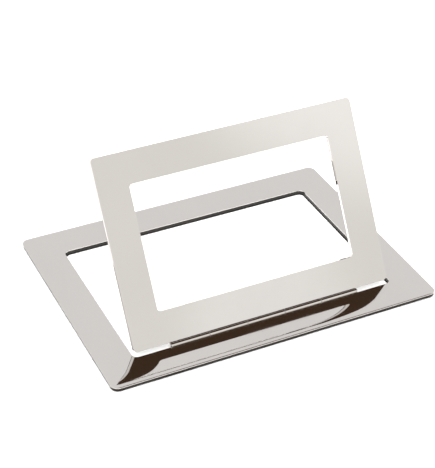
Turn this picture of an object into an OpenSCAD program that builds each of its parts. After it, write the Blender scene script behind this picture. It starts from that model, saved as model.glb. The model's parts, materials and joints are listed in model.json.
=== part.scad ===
// Desk ink blotter: a flat base frame with a recess for a sheet of blotting paper,
// and a lid frame on a barrel hinge that drops into the recess to hold the sheet down.
// Origin: middle of the base's outline, on the face that lies on the desk.
// +X along the hinge, +Y from the hinge towards the back, +Z up. Millimetres.

/* [Base] */
// Width of the base along the hinge
base_w = 300; // [297:1:330]
// Depth of the base from front to back
base_d = 230; // [228:1:260]
// Height of the base's top face above the desk
base_h = 5; // [5:0.1:6]
// Width of each side bar of the base
side_bar = 29.4; // [24:0.1:31]
// Width of the front bar, in front of the hinge
front_bar = 28.7; // [25:0.1:32]
// Radius of the base's outer corners, seen from above
base_corner_r = 7; // [6.5:0.5:12]
// Radius of the bend along the cover's outer edge
edge_r = 0.8; // [0.8:0.1:1.2]
// Height of the cover's turned-down outer edge
skirt_h = 1.6; // [1.5:0.1:3]
// Radius of the recess's corners
recess_corner_r = 5.4; // [3:0.1:8]

/* [Lid] */
// Width of the lid along the hinge
lid_w = 236.8; // [225:0.1:240]
// Height of the lid from its hinged edge to its free edge
lid_d = 161.4; // [150:0.1:163]
// Width of the lid's four bars, round its window
lid_bar = 27.4; // [20:0.1:32]
// Radius of the lid's outer corners
lid_corner_r = 3.5; // [2:0.1:6]
// Radius of the window's corners
window_corner_r = 2.8; // [1.5:0.1:5]
// Angle between the lid and the desk
lid_angle = 60.5; // [0:0.5:150]

/* [Hinge] */
// Length of the hinge barrel
barrel_len = 174; // [120:1:200]
// Outer radius of the knuckles
knuckle_r = 2.25; // [2:0.05:2.4]
// Radius of the hinge pin
pin_r = 1.1; // [0.8:0.05:1.3]
// Number of knuckles, of which the base has one more than the lid
knuckles = 5; // [3:2:9]

/* [Sheet and linings] */
// Thickness of the polished steel sheet of both covers
sheet_t = 0.6; // [0.5:0.1:0.7]
// Thickness of the backing card under the base
card_t = 0.3; // [0.3:0.05:0.5]
// Thickness of the blotting paper
paper_t = 0.25; // [0.2:0.05:0.4]
// Thickness of the felt under the lid
felt_t = 0.5; // [0.4:0.1:0.6]

/* [Hidden] */
$fn = 64;
// cuts run this far past the face that they open
past = 1;
// recess, from the base's outline
recess_w = base_w - 2 * side_bar;
recess_front = -base_d / 2 + front_bar;
recess_clear = 0.8;
// hinge axis: the barrel stands against the recess's front wall, a little above the top face
leaf_t = 0.7;
axis_y = recess_front + knuckle_r + 0.15;
axis_z = base_h + 0.2;
// closed lid, flush with the base's top face
lid_front = axis_y + 1.9;
lid_back = lid_front + lid_d;
lid_mid = (lid_front + lid_back) / 2;
lid_lift = 0.2;
flange_t = 0.6;
felt_z = card_t + paper_t + lid_lift;
lid_core_z = felt_z + felt_t;
lid_step_z = lid_core_z + flange_t;
window_w = lid_w - 2 * lid_bar;
window_d = lid_d - 2 * lid_bar;
// the recess ends a running clearance behind the closed lid
recess_back = lid_back + recess_clear;
recess_d = recess_back - recess_front;
recess_mid = (recess_back + recess_front) / 2;
// height where the cover's turned-down edge ends
skirt_z = base_h - skirt_h;
// the core and the card stand back from the turned-down edge
core_inset = sheet_t;
card_inset = 0.8;
// hinge: running clearances and the spacing of the knuckles
bore_r = pin_r + 0.05;
relief_r = knuckle_r + 0.15;
washer_t = 0.25;
knuckle_gap = washer_t + 0.1;
knuckle_len = (barrel_len - (knuckles - 1) * knuckle_gap) / knuckles;
pin_head_t = 0.8;
// flanges of the hinge leaves and their screws
flange_w = 10;
screw_r = 0.8;
screw_head_r = 1.5;
screw_len = 2.6;
screw_count = 5;
screw_pitch = 38;
screw_back = 5.5;

steel = [0.82, 0.80, 0.78];
dark_board = [0.07, 0.065, 0.06];
dark_felt = [0.05, 0.05, 0.055];

// left end of knuckle i, counted from the left
function knuckle_x(i) = -barrel_len / 2 + i * (knuckle_len + knuckle_gap);

// flat plate with rounded corners, centred on X and Y, standing on z = 0
module plate(w, d, r, h) {
  translate([-w / 2 + r, -d / 2, 0]) cube([w - 2 * r, d, h]);
  translate([-w / 2, -d / 2 + r, 0]) cube([w, d - 2 * r, h]);
  for (x = [-1, 1], y = [-1, 1])
    translate([x * (w / 2 - r), y * (d / 2 - r), 0]) cylinder(r = r, h = h);
}

// plate of height h whose top edge is rounded to radius bend
module cushion(w, d, r, bend, h) {
  rise = h - bend;
  plate(w, d, r, rise);
  translate([0, 0, rise]) intersection() {
    union() {
      plate(w - 2 * bend, d - 2 * bend, r - bend, bend);
      for (y = [-1, 1]) translate([-w / 2 + r, y * (d / 2 - bend), 0])
        rotate([0, 90, 0]) cylinder(r = bend, h = w - 2 * r);
      for (x = [-1, 1]) translate([x * (w / 2 - bend), d / 2 - r, 0])
        rotate([90, 0, 0]) cylinder(r = bend, h = d - 2 * r);
      for (x = [-1, 1], y = [-1, 1])
        translate([x * (w / 2 - r), y * (d / 2 - r), 0])
          rotate_extrude() translate([r - bend, 0]) circle(r = bend);
    }
    translate([-w, -d, 0]) cube([2 * w, 2 * d, 2 * bend]);
  }
}

// space of the recess, through the whole base
module recess_space() {
  translate([0, recess_mid, -past])
    plate(recess_w, recess_d, recess_corner_r, base_h + 2 * past);
}

// cylinder along X about the hinge axis, from x on for len
module about_axis(x, len, r) {
  translate([x, axis_y, axis_z]) rotate([0, 90, 0]) cylinder(r = r, h = len);
}

// the knuckles of one leaf: every second one, from first on
module knuckle_row(first) {
  for (i = [first : 2 : knuckles - 1]) about_axis(knuckle_x(i), knuckle_len, knuckle_r);
}

// room for the other leaf's knuckles, with the gaps at their ends
module knuckle_relief(first) {
  for (i = [first : 2 : knuckles - 1])
    about_axis(knuckle_x(i) - knuckle_gap, knuckle_len + 2 * knuckle_gap, relief_r);
}

// turns the lid's pieces from closed to the angle that it stands at
module opened() {
  translate([0, axis_y, axis_z]) rotate([lid_angle, 0, 0]) translate([0, -axis_y, -axis_z])
    children();
}

// countersunk wood screw, head down on z = 0, point up
module screw() {
  cylinder(r1 = screw_head_r, r2 = screw_r, h = flange_t);
  cylinder(r = screw_r, h = screw_len);
}

// a row of screws at distance y, their heads at height z
module screw_row(y, z) {
  for (i = [0 : screw_count - 1])
    translate([(i - (screw_count - 1) / 2) * screw_pitch, y, z]) screw();
}

// space of a leaf's flange, let into the underside of a core at height z
module flange_space(y, z) {
  translate([-barrel_len / 2, y, z]) cube([barrel_len, flange_w, flange_t]);
}

// space inside the cover: the part of the core that stands above its turned-down edge
module cover_filling() {
  translate([0, 0, skirt_z])
    plate(base_w - 2 * sheet_t, base_d - 2 * sheet_t, base_corner_r - sheet_t,
          skirt_h - sheet_t);
}

// polished sheet pressed over the core, with its outer edge turned down
module base_cover() {
  color(steel) difference() {
    translate([0, 0, skirt_z])
      cushion(base_w, base_d, base_corner_r, edge_r, skirt_h);
    cover_filling();
    recess_space();
  }
}

// dark board frame that fills the cover and makes the recess's walls
module base_core() {
  color(dark_board) difference() {
    union() {
      cover_filling();
      translate([0, 0, card_t])
        plate(base_w - 2 * core_inset, base_d - 2 * core_inset, base_corner_r - core_inset,
              skirt_z - card_t);
    }
    recess_space();
    flange_space(recess_front - flange_w, card_t);
    screw_row(recess_front - screw_back, card_t);
  }
}

// stiff dark card under the whole base, which closes the recess and lies on the desk
module backing_card() {
  color(dark_felt)
    plate(base_w - 2 * card_inset, base_d - 2 * card_inset, base_corner_r - card_inset, card_t);
}

// loose sheet in the recess, clear of the hinge leaf and the walls
module blotting_paper() {
  gap = 0.6;
  front = recess_front + leaf_t + gap;
  back = recess_back - gap;
  color([0.96, 0.96, 0.95]) translate([0, (front + back) / 2, card_t])
    plate(recess_w - 2 * gap, back - front, recess_corner_r - gap, paper_t);
}

// leaf that stands against the recess's front wall, with its flange under the core
module hinge_base_leaf() {
  color(steel) difference() {
    union() {
      translate([-barrel_len / 2, recess_front, card_t])
        cube([barrel_len, leaf_t, base_h - card_t]);
      flange_space(recess_front - flange_w, card_t);
      knuckle_row(0);
    }
    knuckle_relief(1);
    about_axis(-barrel_len, 2 * barrel_len, bore_r);
    screw_row(recess_front - screw_back, card_t);
  }
}

// screws that hold the base leaf's flange to the core, under the card
module base_leaf_screws() {
  color(steel) screw_row(recess_front - screw_back, card_t);
}

// pin through all the knuckles, headed over at both ends
module hinge_pin() {
  color(steel) {
    about_axis(-barrel_len / 2 - pin_head_t, barrel_len + 2 * pin_head_t, pin_r);
    for (x = [-barrel_len / 2 - pin_head_t, barrel_len / 2])
      about_axis(x, pin_head_t, (knuckle_r + pin_r) / 2);
  }
}

// thin washers between the knuckles, which give the hinge its drag
module friction_washers() {
  color([0.16, 0.15, 0.14])
    for (i = [1 : knuckles - 1]) difference() {
      x = knuckle_x(i) - (knuckle_gap + washer_t) / 2;
      about_axis(x, washer_t, knuckle_r - 0.2);
      about_axis(x - past, washer_t + 2 * past, bore_r);
    }
}

// leaf across the lid's hinged edge, with its flange under the lid's core
module hinge_lid_leaf() {
  color(steel) opened() difference() {
    union() {
      translate([-barrel_len / 2, lid_front - leaf_t, lid_core_z])
        cube([barrel_len, leaf_t, axis_z - lid_core_z]);
      translate([-barrel_len / 2, lid_front - leaf_t, lid_core_z])
        cube([barrel_len, leaf_t + flange_w, flange_t]);
      knuckle_row(1);
    }
    knuckle_relief(0);
    about_axis(-barrel_len, 2 * barrel_len, bore_r);
    screw_row(lid_front + screw_back, lid_core_z);
  }
}

// screws that hold the lid leaf's flange to the lid's core, under the felt
module lid_leaf_screws() {
  color(steel) opened() screw_row(lid_front + screw_back, lid_core_z);
}

// the lid's outline, wider by grow all round
module lid_outline(grow, z, h) {
  translate([0, lid_mid, z])
    plate(lid_w + 2 * grow, lid_d + 2 * grow, lid_corner_r + grow, h);
}

// the window's outline, wider by grow all round
module window_outline(grow, z, h) {
  translate([0, lid_mid, z])
    plate(window_w + 2 * grow, window_d + 2 * grow, window_corner_r + grow, h);
}

// cove along the hinged edge that the knuckles turn in
module barrel_cove() {
  about_axis(-barrel_len / 2 - past, barrel_len + 2 * past, relief_r);
}

// polished sheet with its outer and window edges turned down
module lid_cover() {
  color(steel) opened() difference() {
    lid_outline(0, lid_step_z, base_h - lid_step_z);
    window_outline(0, lid_step_z - past, base_h);
    difference() {
      lid_outline(-sheet_t, lid_step_z - past, base_h - sheet_t - lid_step_z + past);
      window_outline(sheet_t, lid_step_z - 2 * past, base_h);
    }
    barrel_cove();
  }
}

// dark board frame inside the lid, with a step that the cover's edges stand on
module lid_core() {
  color(dark_board) opened() difference() {
    union() {
      difference() {
        lid_outline(-sheet_t, lid_step_z, base_h - sheet_t - lid_step_z);
        window_outline(sheet_t, lid_step_z - past, base_h);
      }
      difference() {
        lid_outline(0, lid_core_z, lid_step_z - lid_core_z);
        window_outline(0, lid_core_z - past, base_h);
      }
    }
    flange_space(lid_front, lid_core_z);
    screw_row(lid_front + screw_back, lid_core_z);
    barrel_cove();
  }
}

// felt frame under the lid, which presses the paper down
module lid_felt() {
  felt_inset = 0.3;
  color(dark_felt) opened() difference() {
    lid_outline(-felt_inset, felt_z, felt_t);
    window_outline(felt_inset, felt_z - past, felt_t + 2 * past);
  }
}

base_cover();
base_core();
backing_card();
blotting_paper();
hinge_base_leaf();
base_leaf_screws();
hinge_pin();
friction_washers();
hinge_lid_leaf();
lid_leaf_screws();
lid_cover();
lid_core();
lid_felt();
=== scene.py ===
import json
import math
import bmesh
import bpy
from mathutils import Matrix, Quaternion, Vector


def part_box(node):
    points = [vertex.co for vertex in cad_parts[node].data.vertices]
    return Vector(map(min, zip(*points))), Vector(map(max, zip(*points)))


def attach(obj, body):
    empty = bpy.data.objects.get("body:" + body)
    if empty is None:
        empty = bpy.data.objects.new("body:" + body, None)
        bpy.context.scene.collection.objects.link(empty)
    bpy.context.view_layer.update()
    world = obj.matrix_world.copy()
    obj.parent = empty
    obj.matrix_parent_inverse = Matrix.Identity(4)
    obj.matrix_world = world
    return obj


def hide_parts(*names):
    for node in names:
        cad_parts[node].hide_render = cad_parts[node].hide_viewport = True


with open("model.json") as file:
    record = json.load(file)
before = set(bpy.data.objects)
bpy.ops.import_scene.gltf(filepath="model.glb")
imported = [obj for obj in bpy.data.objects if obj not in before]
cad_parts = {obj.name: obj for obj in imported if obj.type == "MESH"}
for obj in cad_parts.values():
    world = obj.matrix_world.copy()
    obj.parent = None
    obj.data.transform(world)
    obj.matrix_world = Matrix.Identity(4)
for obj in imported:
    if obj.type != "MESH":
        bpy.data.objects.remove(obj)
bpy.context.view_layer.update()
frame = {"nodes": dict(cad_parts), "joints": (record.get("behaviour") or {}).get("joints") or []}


# ---------------------------------------------------------------- Base core
# A frame of dense board, stained black all through. It carries everything else: its inner
# walls are the sides of the recess, and its lower edge shows as a dark line on the desk.

mm = 0.001


def shader_group(name, inputs, outputs):
    """An empty node group with these inputs, each a name and its default, and these outputs."""
    group = bpy.data.node_groups.new(name, "ShaderNodeTree")
    group.interface.new_socket("Vector", in_out="INPUT", socket_type="NodeSocketVector")
    for label, value in inputs.items():
        socket = group.interface.new_socket(label, in_out="INPUT", socket_type="NodeSocketFloat")
        socket.default_value = value
    for label in outputs:
        group.interface.new_socket(label, in_out="OUTPUT", socket_type="NodeSocketFloat")
    return group, group.nodes.new("NodeGroupInput"), group.nodes.new("NodeGroupOutput")


def noise(tree, vector, scale, detail=3.0, roughness=0.5):
    """A noise pattern on a vector, as its value from 0 to 1."""
    node = tree.nodes.new("ShaderNodeTexNoise")
    node.inputs["Detail"].default_value = detail
    node.inputs["Roughness"].default_value = roughness
    if isinstance(scale, (int, float)):
        node.inputs["Scale"].default_value = scale
    else:
        tree.links.new(scale, node.inputs["Scale"])
    tree.links.new(vector, node.inputs["Vector"])
    return node.outputs["Fac"]


def mapping(tree, vector, scale=(1, 1, 1), rotation=(0, 0, 0), location=(0, 0, 0)):
    """A vector moved, turned or stretched."""
    node = tree.nodes.new("ShaderNodeMapping")
    node.inputs["Scale"].default_value = scale
    node.inputs["Rotation"].default_value = rotation
    node.inputs["Location"].default_value = location
    tree.links.new(vector, node.inputs["Vector"])
    return node.outputs["Vector"]


def between(tree, value, low, high, to_low=0.0, to_high=1.0):
    """A value spread from one range to another, eased at both ends."""
    node = tree.nodes.new("ShaderNodeMapRange")
    node.interpolation_type = "SMOOTHSTEP"
    ends = {"From Min": low, "From Max": high, "To Min": to_low, "To Max": to_high}
    for label, number in ends.items():
        node.inputs[label].default_value = number
    tree.links.new(value, node.inputs["Value"])
    return node.outputs["Result"]


def build_grain():
    """Speckle of a pressed or woven surface: a fine tooth and broad, cloudy patches."""
    inputs = {"Tooth": 4000.0, "Clouds": 30.0}
    group, given, result = shader_group("pressed_grain", inputs, ("Tooth", "Clouds"))
    tooth = noise(group, given.outputs["Vector"], given.outputs["Tooth"], 2.0, 0.6)
    clouds = noise(group, given.outputs["Vector"], given.outputs["Clouds"], 5.0, 0.55)
    group.links.new(tooth, result.inputs["Tooth"])
    group.links.new(between(group, clouds, 0.3, 0.7), result.inputs["Clouds"])
    return group


pressed_grain = build_grain()


def material(name, color, roughness, metallic=0.0, specular=0.5):
    """A new material, its tree, its shader and the object's own coordinates."""
    made = bpy.data.materials.new(name)
    made.use_nodes = True
    shader = made.node_tree.nodes["Principled BSDF"]
    shader.inputs["Base Color"].default_value = (*color, 1)
    shader.inputs["Roughness"].default_value = roughness
    shader.inputs["Metallic"].default_value = metallic
    shader.inputs["Specular IOR Level"].default_value = specular
    where = made.node_tree.nodes.new("ShaderNodeTexCoord").outputs["Object"]
    return made, made.node_tree, shader, where


def use_group(tree, group, vector, **values):
    """A node group placed in a material with its own values; an input's underscores are spaces."""
    node = tree.nodes.new("ShaderNodeGroup")
    node.node_tree = group
    tree.links.new(vector, node.inputs["Vector"])
    for label, value in values.items():
        node.inputs[label.replace("_", " ")].default_value = value
    return node.outputs


def tint(tree, shader, share, first, second):
    """Base colour that goes from one colour to another with a share from 0 to 1."""
    ramp = tree.nodes.new("ShaderNodeValToRGB")
    ramp.color_ramp.elements[0].color = (*first, 1)
    ramp.color_ramp.elements[1].color = (*second, 1)
    tree.links.new(share, ramp.inputs["Fac"])
    tree.links.new(ramp.outputs["Color"], shader.inputs["Base Color"])


def relief(tree, shader, height, depth, strength=1.0):
    """A bump of this depth in metres."""
    bump = tree.nodes.new("ShaderNodeBump")
    bump.inputs["Distance"].default_value = depth
    bump.inputs["Strength"].default_value = strength
    tree.links.new(height, bump.inputs["Height"])
    tree.links.new(bump.outputs["Normal"], shader.inputs["Normal"])


def board_material():
    """Black stained board with a smooth, glossy seal and the faint nap of its fibres."""
    made, tree, shader, where = material("black_board", (0.012, 0.010, 0.008), 0.3, specular=0.35)
    grain = use_group(tree, pressed_grain, mapping(tree, where, (0.25, 1, 1)), Tooth=2600.0, Clouds=60.0)
    tint(tree, shader, grain["Clouds"], (0.008, 0.006, 0.005), (0.018, 0.014, 0.011))
    tree.links.new(between(tree, grain["Clouds"], 0, 1, 0.24, 0.34), shader.inputs["Roughness"])
    relief(tree, shader, grain["Tooth"], 0.02 * mm, 0.4)
    return made


black_board = board_material()
corner_steps = 12
# heights that differ by less than this are taken as level
tolerance = 1e-7


def deselect():
    bpy.ops.object.select_all(action="DESELECT")


def outline(size, radius, middle, steps=corner_steps):
    """A flat rounded rectangle: a plane whose corners are bevelled."""
    deselect()
    bpy.ops.mesh.primitive_plane_add(size=1, location=middle)
    plane = bpy.context.object
    plane.scale = (size[0], size[1], 1)
    bpy.ops.object.transform_apply(location=True, rotation=True, scale=True)
    bpy.ops.object.mode_set(mode="EDIT")
    bpy.ops.mesh.select_all(action="SELECT")
    bpy.ops.mesh.bevel(offset=radius, segments=steps, affect="VERTICES")
    bpy.ops.object.mode_set(mode="OBJECT")
    return plane


def pick(kind, test):
    """In edit mode, selects only the faces or edges that pass a test of themselves."""
    mesh = bmesh.from_edit_mesh(bpy.context.object.data)
    bpy.ops.mesh.select_mode(type="FACE" if kind == "faces" else "EDGE")
    bpy.ops.mesh.select_all(action="DESELECT")
    for part in getattr(mesh, kind):
        part.select_set(bool(test(part)))
    mesh.select_flush_mode()
    bmesh.update_edit_mesh(bpy.context.object.data)


def level_at(edge, z):
    """Whether an edge lies level at this height."""
    return all(abs(v.co.z - z) < tolerance for v in edge.verts)


def framework(levels, closed=False):
    """Outlines bridged one to the next, each its size, corner radius and middle."""
    outlines = [outline(*level) for level in levels]
    for drawn in outlines:
        drawn.select_set(True)
    bpy.ops.object.join()
    bpy.ops.object.mode_set(mode="EDIT")
    bpy.ops.mesh.select_all(action="SELECT")
    bpy.ops.mesh.delete(type="ONLY_FACE")
    following = levels[1:] + levels[:1] if closed else levels[1:]
    for level, other in zip(levels, following):
        heights = (level[2][2], other[2][2])
        pick("edges", lambda e: any(level_at(e, z) for z in heights))
        bpy.ops.mesh.bridge_edge_loops()
    bpy.ops.mesh.select_all(action="SELECT")
    bpy.ops.mesh.normals_make_consistent(inside=False)
    mesh = bmesh.from_edit_mesh(bpy.context.object.data)
    widest = max(mesh.faces, key=lambda f: f.calc_area() * f.normal.z ** 2)
    if not closed and widest.normal.z < 0:
        bpy.ops.mesh.flip_normals()
    bpy.ops.object.mode_set(mode="OBJECT")
    return bpy.context.object


def apply_modifier(piece, kind, **settings):
    """Adds a modifier with these settings and applies it."""
    modifier = piece.modifiers.new(kind.lower(), kind)
    for label, value in settings.items():
        setattr(modifier, label, value)
    bpy.context.view_layer.objects.active = piece
    bpy.ops.object.modifier_apply(modifier=modifier.name)


def place(piece, name, body, finish, slot, *nodes):
    """Names a finished piece, smooths its curves, and puts it in the place of its CAD parts."""
    piece.name = name
    piece.data.name = name
    deselect()
    piece.select_set(True)
    bpy.context.view_layer.objects.active = piece
    bpy.ops.object.shade_smooth_by_angle(angle=math.radians(40))
    apply_modifier(piece, "WEIGHTED_NORMAL", keep_sharp=True, weight=100)
    piece.data.materials.clear()
    piece.data.materials.append(finish)
    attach(piece, body)
    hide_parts(*nodes)


cover_low, cover_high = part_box("base_cover")
core_low, core_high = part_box("base_core")
top = cover_high.z
base_size = cover_high - cover_low
base_radius = 7 * mm
side_bar = 29.4 * mm
front_bar = 28.7 * mm
recess_depth = 166.5 * mm
recess_size = (base_size.x - 2 * side_bar, recess_depth)
recess_middle = cover_low.y + front_bar + recess_size[1] / 2
recess_radius = 5.4 * mm
sheet = 0.6 * mm
smallest_radius = 1 * mm
pillow_depth = 0.976 * mm
pillow_reach = 4 * mm
core_gap = 0.03 * mm
cut_edge = 0.12 * mm
# two outlines that would be level are set this far apart
hair = 0.0005 * mm


def rim(inset, z):
    """The base's outline, drawn in by inset, at this height."""
    size = (base_size.x - 2 * inset, base_size.y - 2 * inset)
    return size, max(base_radius - inset, smallest_radius), (0, 0, z)


def brink(grow, z):
    """The recess's outline, widened by grow, at this height."""
    size = (recess_size[0] + 2 * grow, recess_size[1] + 2 * grow)
    return size, recess_radius + grow, (0, recess_middle, z)


def pillow(inset):
    """How far the pressed top has fallen, this far in from the outer edge."""
    return pillow_depth * math.exp(-inset / pillow_reach)


core_top = top - sheet - core_gap
core_levels = [brink(0, core_low.z), brink(0, core_high.z)]
# the board's top follows the cover's fall, at these insets in millimetres
for inset in (14, 8.5, 5, 2.9, 1.6, 0.6):
    core_levels.append(rim(inset * mm, core_top - pillow(inset * mm)))
core_levels.append(rim(sheet, core_low.z + hair))
core = framework(core_levels, closed=True)
apply_modifier(core, "BEVEL", width=cut_edge, segments=2,
               limit_method="ANGLE", angle_limit=math.radians(50))
place(core, "core_base", "base", black_board, "black_board", "base_core")


# ------------------------------------------------------------- Backing card
# Stiff black card glued under the whole base. It closes the recess from below and is the
# face that the blotter lies on; its corners and edges are lightly scuffed from sliding.

def maths(tree, operation, first, second=0.0, clamp=False):
    """A math node on two values or sockets, and its result."""
    node = tree.nodes.new("ShaderNodeMath")
    node.operation = operation
    node.use_clamp = clamp
    for slot, value in zip(node.inputs, (first, second)):
        if isinstance(value, (int, float)):
            slot.default_value = value
        else:
            tree.links.new(value, slot)
    return node.outputs[0]


def lift(amount, kind="faces"):
    """Extrudes the selection by a vector."""
    if kind == "faces":
        bpy.ops.mesh.extrude_region_move(TRANSFORM_OT_translate={"value": amount})
    else:
        bpy.ops.mesh.extrude_edges_move(TRANSFORM_OT_translate={"value": amount})


def thicken(height):
    """Raises the flat piece at hand into a slab of this height."""
    bpy.ops.object.mode_set(mode="EDIT")
    bpy.ops.mesh.select_all(action="SELECT")
    lift((0, 0, height))
    bpy.ops.mesh.select_all(action="SELECT")
    bpy.ops.mesh.normals_make_consistent(inside=False)
    bpy.ops.object.mode_set(mode="OBJECT")


def build_edge_rub():
    """Rubbing along a rectangle's edges: 1 at the edge, 0 inside, broken up by noise."""
    inputs = {"Half Width": 0.15, "Half Depth": 0.115, "Reach": 0.004}
    group, given, result = shader_group("edge_rub", inputs, ("Rub",))
    parts = group.nodes.new("ShaderNodeSeparateXYZ")
    group.links.new(given.outputs["Vector"], parts.inputs[0])
    across = maths(group, "ABSOLUTE", parts.outputs["X"])
    along = maths(group, "ABSOLUTE", parts.outputs["Y"])
    from_sides = maths(group, "SUBTRACT", given.outputs["Half Width"], across)
    from_ends = maths(group, "SUBTRACT", given.outputs["Half Depth"], along)
    inside = maths(group, "DIVIDE", maths(group, "MINIMUM", from_sides, from_ends), given.outputs["Reach"])
    broken = maths(group, "MULTIPLY", noise(group, given.outputs["Vector"], 350.0, 4.0, 0.6), 1.4)
    rub = maths(group, "SUBTRACT", broken, inside, clamp=True)
    group.links.new(rub, result.inputs["Rub"])
    return group


edge_rub = build_edge_rub()
card_low, card_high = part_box("backing_card")
card_radius = 6.2 * mm


def card_material():
    """Black card with a pebbled facing."""
    made, tree, shader, where = material("black_card", (0.012, 0.012, 0.013), 0.6, specular=0.35)
    grain = use_group(tree, pressed_grain, where, Tooth=1500.0, Clouds=25.0)
    half = (card_high - card_low) / 2
    rub = use_group(tree, edge_rub, where, Half_Width=half.x, Half_Depth=half.y, Reach=3 * mm)["Rub"]
    clouds = maths(tree, "MULTIPLY", grain["Clouds"], 0.35)
    rubbed = maths(tree, "MULTIPLY", rub, 0.6)
    worn = maths(tree, "ADD", clouds, rubbed)
    tint(tree, shader, worn, (0.009, 0.009, 0.010), (0.050, 0.047, 0.043))
    tree.links.new(between(tree, worn, 0, 1, 0.5, 0.75), shader.inputs["Roughness"])
    relief(tree, shader, grain["Tooth"], 0.05 * mm, 0.8)
    return made


card_size = card_high - card_low
card_middle = ((card_low.x + card_high.x) / 2, (card_low.y + card_high.y) / 2, card_low.z)
card = outline(card_size, card_radius, card_middle)
thicken(card_size.z)
apply_modifier(card, "BEVEL", width=cut_edge, segments=3, limit_method="ANGLE")
place(card, "card_backing", "base", card_material(), "black_card", "backing_card")


# ---------------------------------------------------------------- Base cover
# Polished steel sheet pressed over the core. The top falls gently towards the outer edge,
# which is turned down in a tight bend. It is cut open at the recess, where the cut edge is
# eased by polishing.

steel_color = (0.80, 0.775, 0.752)
bend = 0.2 * mm


def build_polish():
    """What polishing and handling leave on steel: hairlines in two directions and faint wipes."""
    group, given, result = shader_group("polish_marks", {"Wipes": 14.0}, ("Hairlines", "Wipes"))
    along = mapping(group, given.outputs["Vector"], (25, 2200, 900), (0, 0, 0.10))
    across = mapping(group, given.outputs["Vector"], (2600, 30, 900), (0, 0, -0.16))
    first = noise(group, along, 1.0, 2.0, 0.6)
    second = noise(group, across, 1.0, 2.0, 0.6)
    lines = maths(group, "ADD", maths(group, "MULTIPLY", first, 0.6), maths(group, "MULTIPLY", second, 0.4))
    smears = mapping(group, given.outputs["Vector"], (1, 0.45, 1), (0, 0, 0.5))
    wipes = noise(group, smears, given.outputs["Wipes"], 4.0, 0.6)
    group.links.new(lines, result.inputs["Hairlines"])
    group.links.new(between(group, wipes, 0.35, 0.75), result.inputs["Wipes"])
    return group


polish_marks = build_polish()


def steel_material(name, color, shine, haze, wipes):
    """Mirror polished steel, slightly duller where it has been wiped and handled."""
    made, tree, shader, where = material(name, color, shine, metallic=1.0)
    marks = use_group(tree, polish_marks, where, Wipes=wipes)
    tree.links.new(between(tree, marks["Wipes"], 0, 1, shine, haze), shader.inputs["Roughness"])
    tint(tree, shader, marks["Wipes"], color, tuple(0.975 * c for c in color))
    relief(tree, shader, marks["Hairlines"], 0.0006 * mm, 0.25)
    return made


polished_steel = steel_material("polished_steel", steel_color, 0.03, 0.075, 14.0)

sheet_levels = [brink(0, top)]
# the top's fall is drawn at these insets in millimetres, closer together near the edge
for inset in (14, 11, 8.5, 6.5, 5, 3.8, 2.9, 2.2, 1.6, 1.1, 0.7, 0.4, 0):
    sheet_levels.append(rim(inset * mm, top - pillow(inset * mm)))
sheet_levels.append(rim(0, cover_low.z))
base_sheet = framework(sheet_levels)
apply_modifier(base_sheet, "SOLIDIFY", thickness=sheet, offset=-1, use_even_offset=True)
bpy.ops.object.mode_set(mode="EDIT")
sharp = (top, top - pillow(0))
pick("edges", lambda e: any(level_at(e, z) for z in sharp))
bpy.ops.mesh.bevel(offset=bend, segments=4, affect="EDGES", clamp_overlap=False)
bpy.ops.object.mode_set(mode="OBJECT")
place(base_sheet, "cover_base", "base", polished_steel, "polished_steel", "base_cover")


# ------------------------------------------------------------ Blotting paper
# A loose sheet of soft, unsized white paper that lies in the recess on the card and lifts
# out to be changed. It is fibrous, a little cloudy, and fluffed along its cut edges.

paper_low, paper_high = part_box("blotting_paper")
paper_radius = 4.8 * mm


def paper_material():
    """White blotting paper: dull, cloudy and fibrous."""
    made, tree, shader, where = material("blotting_paper", (0.93, 0.93, 0.92), 0.95, specular=0.1)
    grain = use_group(tree, pressed_grain, where, Tooth=3000.0, Clouds=90.0)
    half = (paper_high - paper_low) / 2
    centre = (paper_high + paper_low) / 2
    middle = mapping(tree, where, location=(0, -centre.y, 0))
    rub = use_group(tree, edge_rub, middle, Half_Width=half.x, Half_Depth=half.y, Reach=1.5 * mm)["Rub"]
    clouds = maths(tree, "MULTIPLY", grain["Clouds"], 0.5)
    fluffed = maths(tree, "MULTIPLY", rub, 0.5)
    share = maths(tree, "ADD", clouds, fluffed)
    tint(tree, shader, share, (0.945, 0.945, 0.94), (0.90, 0.895, 0.88))
    fibres = noise(tree, mapping(tree, where, (1, 5, 1), (0, 0, 0.4)), 1400.0, 3.0, 0.7)
    relief(tree, shader, maths(tree, "ADD", grain["Tooth"], fibres), 0.03 * mm, 0.7)
    tree.links.new(between(tree, grain["Clouds"], 0, 1, 0.9, 1.0), shader.inputs["Roughness"])
    return made


paper_size = paper_high - paper_low
paper = outline(paper_size, paper_radius, (0, (paper_low.y + paper_high.y) / 2, paper_low.z))
thicken(paper_size.z)
apply_modifier(paper, "BEVEL", width=cut_edge, segments=3, limit_method="ANGLE")
place(paper, "paper_sheet", "base", paper_material(), "blotting_paper", "blotting_paper")


# ------------------------------------------------------- Hinge leaf of the base
# Steel leaf pressed against the recess's front wall, with its flange screwed under the
# core. Its three knuckles are turned tube, polished, with eased rims.

lid_joint = frame["joints"][0]
axis_y, axis_z = lid_joint["pos_m"][1], lid_joint["pos_m"][2]
lid_angle = -math.radians(lid_joint["range_deg"][0])
leaf_low, leaf_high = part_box("hinge_base_leaf")
barrel_length = leaf_high.x - leaf_low.x
knuckle_radius = 2.25 * mm
bore_radius = 1.15 * mm
knuckle_count = 5
knuckle_gap = 0.35 * mm
knuckle_length = (barrel_length - (knuckle_count - 1) * knuckle_gap) / knuckle_count
leaf_sheet = 0.7 * mm
flange = 0.6 * mm
rim_ease = 0.2 * mm
leaf_ease = 0.1 * mm

hinge_steel = steel_material("hinge_steel", (0.78, 0.752, 0.728), 0.05, 0.11, 60.0)


def middle_of(part):
    """The middle of a face or edge."""
    return sum((v.co for v in part.verts), Vector()) / len(part.verts)


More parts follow.
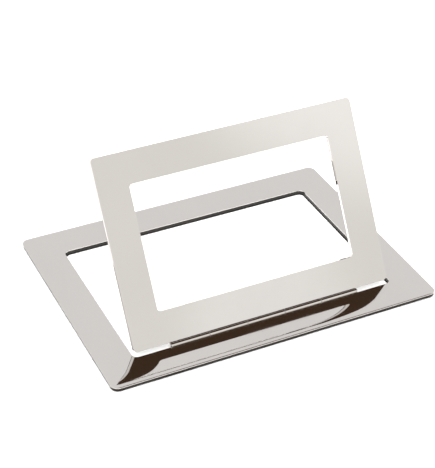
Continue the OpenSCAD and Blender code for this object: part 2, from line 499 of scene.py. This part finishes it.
def knuckle(number):
    """One knuckle: a cylinder bored through, with its four rims eased."""
    deselect()
    middle = -barrel_length / 2 + number * (knuckle_length + knuckle_gap) + knuckle_length / 2
    bpy.ops.mesh.primitive_cylinder_add(vertices=64, radius=knuckle_radius, depth=knuckle_length,
                                        location=(middle, axis_y, axis_z), rotation=(0, math.pi / 2, 0))
    bpy.ops.object.transform_apply(location=True, rotation=True, scale=True)
    bpy.ops.object.mode_set(mode="EDIT")
    pick("faces", lambda f: abs(f.normal.x) > 0.9)
    bpy.ops.mesh.inset(thickness=knuckle_radius - bore_radius, use_even_offset=True)
    bpy.ops.mesh.bridge_edge_loops()
    pick("edges", lambda e: abs(middle_of(e).x - middle) > knuckle_length / 2 - 1e-6
         and abs(e.calc_face_angle(0)) > 1)
    bpy.ops.mesh.bevel(offset=rim_ease, segments=3, affect="EDGES")
    bpy.ops.object.mode_set(mode="OBJECT")
    return bpy.context.object


def bar(low, high):
    """A straight bar of leaf sheet between two corners."""
    deselect()
    bpy.ops.mesh.primitive_cube_add(size=1, location=(Vector(low) + Vector(high)) / 2)
    made = bpy.context.object
    made.scale = Vector(high) - Vector(low)
    bpy.ops.object.transform_apply(location=True, rotation=True, scale=True)
    return made


def join_all(pieces):
    """Joins pieces into the first."""
    deselect()
    for piece in pieces:
        piece.select_set(True)
    bpy.context.view_layer.objects.active = pieces[0]
    bpy.ops.object.join()
    return pieces[0]


recess_front = cover_low.y + front_bar
strip = bar((-barrel_length / 2, recess_front, leaf_low.z),
            (barrel_length / 2, recess_front + leaf_sheet, top))
bpy.ops.object.mode_set(mode="EDIT")
bpy.ops.mesh.select_all(action="SELECT")
bpy.ops.mesh.bisect(plane_co=(0, 0, leaf_low.z + flange), plane_no=(0, 0, 1))
pick("faces", lambda f: f.normal.y < -0.9 and middle_of(f).z < leaf_low.z + flange)
lift((0, -(recess_front - leaf_low.y), 0))
bpy.ops.object.mode_set(mode="OBJECT")
apply_modifier(strip, "BEVEL", width=leaf_ease, segments=2, limit_method="ANGLE")
base_knuckles = [knuckle(n) for n in range(0, knuckle_count, 2)]
base_leaf = join_all([strip, *base_knuckles])
place(base_leaf, "leaf_base", "base", hinge_steel, "hinge_steel", "hinge_base_leaf")


# ------------------------------------------------------------------ Screws
# Small countersunk steel screws that hold both leaves to their cores, five to a leaf. They
# are hidden under the card and the felt.


def screw_material():
    """Plain drawn steel, dull and slightly blotched."""
    made, tree, shader, where = material("screw_steel", (0.46, 0.45, 0.44), 0.35, metallic=1.0)
    marks = use_group(tree, polish_marks, where, Wipes=300.0)
    tint(tree, shader, marks["Wipes"], (0.50, 0.49, 0.48), (0.36, 0.34, 0.32))
    tree.links.new(between(tree, marks["Wipes"], 0, 1, 0.28, 0.5), shader.inputs["Roughness"])
    relief(tree, shader, marks["Hairlines"], 0.004 * mm, 0.6)
    return made


screw_steel = screw_material()


screw_head = 1.5 * mm
screw_shank = 0.8 * mm
screw_length = 2.6 * mm
screw_pitch = 38 * mm
screw_back = 5.5 * mm
screw_tip = 0.5 * mm
tip_taper = 0.3
screw_ease = 0.05 * mm
slot_size = (2.4 * screw_head, 0.4 * mm, 0.5 * mm)


def screw(x, y, z):
    """One countersunk screw, head down: a cone on a shank that is drawn to a point."""
    deselect()
    bpy.ops.mesh.primitive_cylinder_add(vertices=32, radius=screw_head, depth=flange,
                                        location=(x, y, z + flange / 2))
    bpy.ops.object.transform_apply(location=True, rotation=True, scale=True)
    made = bpy.context.object
    bpy.ops.object.mode_set(mode="EDIT")
    pick("faces", lambda f: f.normal.z > 0.9)
    taper = screw_shank / screw_head
    bpy.ops.transform.resize(value=(taper, taper, 1))
    lift((0, 0, screw_length - flange - screw_tip))
    lift((0, 0, screw_tip))
    bpy.ops.transform.resize(value=(tip_taper, tip_taper, 1))
    bpy.ops.object.mode_set(mode="OBJECT")
    apply_modifier(made, "BEVEL", width=screw_ease, segments=2,
                   limit_method="ANGLE", angle_limit=math.radians(35))
    deselect()
    bpy.ops.mesh.primitive_cube_add(size=1, location=(x, y, z))
    slot = bpy.context.object
    slot.scale = slot_size
    apply_modifier(made, "BOOLEAN", operation="DIFFERENCE", object=slot, solver="EXACT")
    bpy.data.objects.remove(slot)
    return made


def screw_row(y, z):
    """Five screws along a leaf."""
    return join_all([screw(screw_pitch * n, y, z) for n in range(-2, 3)])


base_screws = screw_row(recess_front - screw_back, leaf_low.z)
place(base_screws, "screws_base", "base", screw_steel, "screw_steel", "base_leaf_screws")


# --------------------------------------------------------------- Hinge pin
# Steel rod through all five knuckles, headed over at both ends so that it can't work out.

pin_radius = 1.1 * mm
pin_head_radius = (knuckle_radius + pin_radius) / 2
pin_head_length = 0.8 * mm
pin_head_ease = 0.5 * mm

deselect()
bpy.ops.mesh.primitive_cylinder_add(vertices=48, radius=pin_radius, depth=barrel_length,
                                    location=(0, axis_y, axis_z), rotation=(0, math.pi / 2, 0))
bpy.ops.object.transform_apply(location=True, rotation=True, scale=True)
pin = bpy.context.object
wider = pin_head_radius / pin_radius
for side in (-1, 1):
    bpy.ops.object.mode_set(mode="EDIT")
    pick("faces", lambda f: f.normal.x * side > 0.9)
    bpy.ops.mesh.extrude_region_move(TRANSFORM_OT_translate={"value": (0, 0, 0)})
    bpy.ops.transform.resize(value=(1, wider, wider),
                             center_override=(side * barrel_length / 2, axis_y, axis_z))
    lift((side * pin_head_length, 0, 0))
    bpy.ops.object.mode_set(mode="OBJECT")
bpy.ops.object.mode_set(mode="EDIT")
pick("edges", lambda e: abs(middle_of(e).x) > barrel_length / 2 + pin_head_length - 1e-6
     and abs(e.calc_face_angle(0)) > 1)
bpy.ops.mesh.bevel(offset=pin_head_ease, segments=5, affect="EDGES")
bpy.ops.object.mode_set(mode="OBJECT")
place(pin, "pin_hinge", "base", hinge_steel, "hinge_steel", "hinge_pin")


# -------------------------------------------------------- Friction washers
# Thin dark washers between the knuckles. Squeezed by the headed pin, they give the hinge
# the drag that holds the lid up at any angle.


def dress(node, finish):
    """A CAD part that keeps its shape takes this material."""
    slots = frame["nodes"][node].data.materials
    slots.clear()
    slots.append(finish)


def washer_material():
    """Dull dark plastic, burnished where the knuckles turn on it."""
    made, tree, shader, where = material("washer", (0.03, 0.028, 0.026), 0.55, specular=0.4)
    grain = use_group(tree, pressed_grain, where, Tooth=9000.0, Clouds=700.0)
    tint(tree, shader, grain["Clouds"], (0.022, 0.020, 0.019), (0.05, 0.047, 0.043))
    tree.links.new(between(tree, grain["Clouds"], 0, 1, 0.38, 0.65), shader.inputs["Roughness"])
    relief(tree, shader, grain["Tooth"], 0.01 * mm, 0.5)
    return made


dress("friction_washers", washer_material())


# --------------------------------------------------------- Hinge leaf of the lid
# The same leaf sheet across the lid's hinged edge, with two knuckles between the base's
# three and its flange screwed under the lid's core.

axis_to_lid = 1.9 * mm
lid_front = axis_y + axis_to_lid
lid_core_z = 1.25 * mm
# the strip stops below the knuckles, and a neck joins it to each of them
axis_to_strip = 2.1 * mm
under_knuckles = axis_z - axis_to_strip
neck_overlap = 0.2 * mm
flange_depth = 10 * mm


def open_lid(piece):
    """Turns a piece made for the closed lid up about the hinge axis."""
    deselect()
    piece.select_set(True)
    bpy.context.view_layer.objects.active = piece
    axis = Vector((0, axis_y, axis_z))
    piece.matrix_world = (Matrix.Translation(axis) @ Matrix.Rotation(lid_angle, 4, "X")
                          @ Matrix.Translation(-axis))
    bpy.ops.object.transform_apply(location=True, rotation=True, scale=True)


strip = bar((-barrel_length / 2, lid_front - leaf_sheet, lid_core_z),
            (barrel_length / 2, lid_front, under_knuckles))
bpy.ops.object.mode_set(mode="EDIT")
bpy.ops.mesh.select_all(action="SELECT")
bpy.ops.mesh.bisect(plane_co=(0, 0, lid_core_z + flange), plane_no=(0, 0, 1))
pick("faces", lambda f: f.normal.y > 0.9 and middle_of(f).z < lid_core_z + flange)
lift((0, flange_depth, 0))
bpy.ops.object.mode_set(mode="OBJECT")
apply_modifier(strip, "BEVEL", width=leaf_ease, segments=2, limit_method="ANGLE")
lid_knuckles = []
for number in range(1, knuckle_count, 2):
    start = -barrel_length / 2 + number * (knuckle_length + knuckle_gap)
    lid_knuckles.append(knuckle(number))
    neck = bar((start, lid_front - leaf_sheet, under_knuckles - neck_overlap),
               (start + knuckle_length, lid_front, axis_z - bore_radius))
    lid_knuckles.append(neck)
lid_leaf = join_all([strip, *lid_knuckles])
open_lid(lid_leaf)
place(lid_leaf, "leaf_lid", "lid", hinge_steel, "hinge_steel", "hinge_lid_leaf")
# its screws are like the base's
lid_screws = screw_row(lid_front + screw_back, lid_core_z)
open_lid(lid_screws)
place(lid_screws, "screws_lid", "lid", screw_steel, "screw_steel", "lid_leaf_screws")


# ----------------------------------------------------------------- Lid core
# Frame of the same black board, stepped all round so that the cover's turned-down edges
# stand on it.

dress("lid_core", black_board)


# ---------------------------------------------------------------- Lid cover
# Polished steel sheet with its outer and window edges turned down over the core, in a
# tight bend. It is made closed and then turned up about the hinge.

lid_size = (236.8 * mm, 161.4 * mm)
lid_bar = 27.4 * mm
lid_radius = 3.5 * mm
window_radius = 2.8 * mm
lid_step = 0.6 * mm
turn_down = top - lid_core_z - lid_step
cove_gap = 0.15 * mm
cove_radius = knuckle_radius + cove_gap

lid_middle = (0, lid_front + lid_size[1] / 2, top)
window_size = (lid_size[0] - 2 * lid_bar, lid_size[1] - 2 * lid_bar)
lid_sheet = framework([(window_size, window_radius, lid_middle), (lid_size, lid_radius, lid_middle)])
bpy.ops.object.mode_set(mode="EDIT")
pick("edges", lambda e: e.is_boundary)
lift((0, 0, -turn_down), "edges")
bpy.ops.mesh.select_all(action="SELECT")
bpy.ops.mesh.normals_make_consistent(inside=False)
bpy.ops.object.mode_set(mode="OBJECT")
apply_modifier(lid_sheet, "SOLIDIFY", thickness=sheet, offset=-1, use_even_offset=True)
bpy.ops.object.mode_set(mode="EDIT")
pick("edges", lambda e: middle_of(e).z > top - tolerance
     and len({round(f.normal.z, 2) for f in e.link_faces}) > 1)
bpy.ops.mesh.bevel(offset=bend, segments=4, affect="EDGES", clamp_overlap=False)
bpy.ops.object.mode_set(mode="OBJECT")
# a cove along the hinged edge, which the knuckles turn in
deselect()
bpy.ops.mesh.primitive_cylinder_add(vertices=96, radius=cove_radius, depth=barrel_length + 2 * mm,
                                    location=(0, axis_y, axis_z), rotation=(0, math.pi / 2, 0))
cove = bpy.context.object
apply_modifier(lid_sheet, "BOOLEAN", operation="DIFFERENCE", object=cove, solver="EXACT")
bpy.data.objects.remove(cove)
open_lid(lid_sheet)
place(lid_sheet, "cover_lid", "lid", polished_steel, "polished_steel", "lid_cover")


# ----------------------------------------------------------------- Lid felt
# A frame of thin black felt glued under the lid's core. It presses the paper down without
# marking it.


def felt_material():
    """Black felt: a matted nap with a soft sheen."""
    made, tree, shader, where = material("black_felt", (0.012, 0.012, 0.013), 0.95, specular=0.15)
    shader.inputs["Sheen Weight"].default_value = 0.08
    shader.inputs["Sheen Roughness"].default_value = 0.6
    grain = use_group(tree, pressed_grain, where, Tooth=5000.0, Clouds=120.0)
    tint(tree, shader, grain["Clouds"], (0.008, 0.008, 0.009), (0.022, 0.022, 0.024))
    tree.links.new(between(tree, grain["Clouds"], 0, 1, 0.88, 1.0), shader.inputs["Roughness"])
    relief(tree, shader, grain["Tooth"], 0.08 * mm, 1.0)
    return made


felt_thickness = 0.5 * mm
felt_inset = 0.3 * mm
felt_z = lid_core_z - felt_thickness


def felt_outline(size, radius, inset):
    """An outline on the felt's underside, drawn in by inset."""
    return (size[0] - 2 * inset, size[1] - 2 * inset), radius - inset, (0, lid_middle[1], felt_z)


felt = framework([felt_outline(window_size, window_radius, -felt_inset),
                  felt_outline(lid_size, lid_radius, felt_inset)])
thicken(felt_thickness)
apply_modifier(felt, "BEVEL", width=cut_edge, segments=3,
               limit_method="ANGLE", angle_limit=math.radians(60))
open_lid(felt)
place(felt, "felt_lid", "lid", felt_material(), "black_felt", "lid_felt")


# ------------------------------------------------------------------- Studio
# A plain pale floor. A broad lamp over it and two weaker ones beside it light it softly;
# they don't show in the steel, which mirrors pale walls low down and a dark ceiling.

# the floor lies a little under the card, so that the two faces don't meet
floor_z = -0.15 * mm
floor_size = 14

deselect()
bpy.ops.mesh.primitive_plane_add(size=floor_size, location=(0, 0, floor_z))
floor = bpy.context.object
floor.name = "floor"
floor_finish, floor_tree, floor_shader, _ = material("pale_floor", (0.93, 0.93, 0.93), 0.9, specular=0.0)
# painted reflection: the floor is painted a darker grey for glossy rays only, so the steel mirrors it as a
# light grey while the camera sees it pale
bounce = floor_tree.nodes.new("ShaderNodeLightPath").outputs["Is Glossy Ray"]
tint(floor_tree, floor_shader, bounce, (0.93, 0.93, 0.93), (0.60, 0.59, 0.585))
floor.data.materials.append(floor_finish)


def lamp(name, where, aim, size, power):
    """A square soft lamp that the steel doesn't mirror."""
    data = bpy.data.lights.new(name, "AREA")
    data.shape = "SQUARE"
    data.size = size
    data.energy = power
    made = bpy.data.objects.new(name, data)
    bpy.context.scene.collection.objects.link(made)
    made.location = where
    made.rotation_euler = (Vector(aim) - Vector(where)).to_track_quat("-Z", "Y").to_euler()
    made.visible_glossy = False
    made.visible_camera = False
    return made


lamp("lamp_over", (0, 0, 1.9), (0, 0, 0), 3.2, 95)
lamp("lamp_back", (0.5, 2.2, 1.2), (0, 0, 0), 1.6, 30)
lamp("lamp_front", (-0.8, -2.2, 1.4), (0, 0, 0), 1.6, 25)

# pale walls all round, a little warmer and brighter in front, with a bright window at the
# front right and a dark brown ceiling overhead; each fades between two angles in degrees
back_color = (0.80, 0.79, 0.785)
front_color = (0.853, 0.841, 0.812)
window_color = (1.06, 1.05, 1.03)
glow_color = (0.95, 0.94, 0.92)
ceiling_color = (0.060, 0.035, 0.021)
world = bpy.data.worlds.new("studio")
bpy.context.scene.world = world
world.use_nodes = True
tree = world.node_tree
direction = tree.nodes.new("ShaderNodeTexCoord").outputs["Generated"]


def near(towards, none, full):
    """1 where the room is seen within the full angle of a direction, 0 beyond the none angle."""
    node = tree.nodes.new("ShaderNodeVectorMath")
    node.operation = "DOT_PRODUCT"
    node.inputs[1].default_value = Vector(towards).normalized()
    tree.links.new(direction, node.inputs[0])
    return between(tree, node.outputs["Value"], math.cos(math.radians(none)), math.cos(math.radians(full)))


def painted(under, color, share):
    """The room's colour with another laid over a share of it."""
    node = tree.nodes.new("ShaderNodeMix")
    node.data_type = "RGBA"
    sockets = {s.identifier: s for s in node.inputs}
    if isinstance(under, tuple):
        sockets["A_Color"].default_value = (*under, 1)
    else:
        tree.links.new(under, sockets["A_Color"])
    sockets["B_Color"].default_value = (*color, 1)
    tree.links.new(share, sockets["Factor_Float"])
    return {s.identifier: s for s in node.outputs}["Result_Color"]


room = painted(back_color, front_color, near((0, -1, 0), 95, 70))
room = painted(room, window_color, near((0.50, -0.72, 0.48), 12.3, 7.5))
room = painted(room, glow_color, near((0.36, -0.88, 0.30), 4.5, 0.5))
room = painted(room, ceiling_color, near((0.30, -0.182, 0.936), 36, 32))
tree.links.new(room, tree.nodes["Background"].inputs["Color"])

# the camera stands at the front left and looks down on the blotter
camera_azimuth = math.radians(-24.6514)
camera_elevation = math.radians(34.2654)
camera_roll = math.radians(-0.5646)
camera_target = Vector((19.3231, 53.6391, -0.5)) * mm
camera_distance = 1291.72 * mm
towards = Vector((math.sin(camera_azimuth) * math.cos(camera_elevation),
                  -math.cos(camera_azimuth) * math.cos(camera_elevation),
                  math.sin(camera_elevation)))
camera_data = bpy.data.cameras.new("camera")
camera_data.lens = 107.86
camera = bpy.data.objects.new("camera", camera_data)
bpy.context.scene.collection.objects.link(camera)
camera.location = camera_target + towards * camera_distance
camera.rotation_mode = "QUATERNION"
camera.rotation_quaternion = (-towards).to_track_quat("-Z", "Y") @ Quaternion((0, 0, 1), camera_roll)
bpy.context.scene.camera = camera
bpy.context.scene.view_settings.view_transform = "Standard"
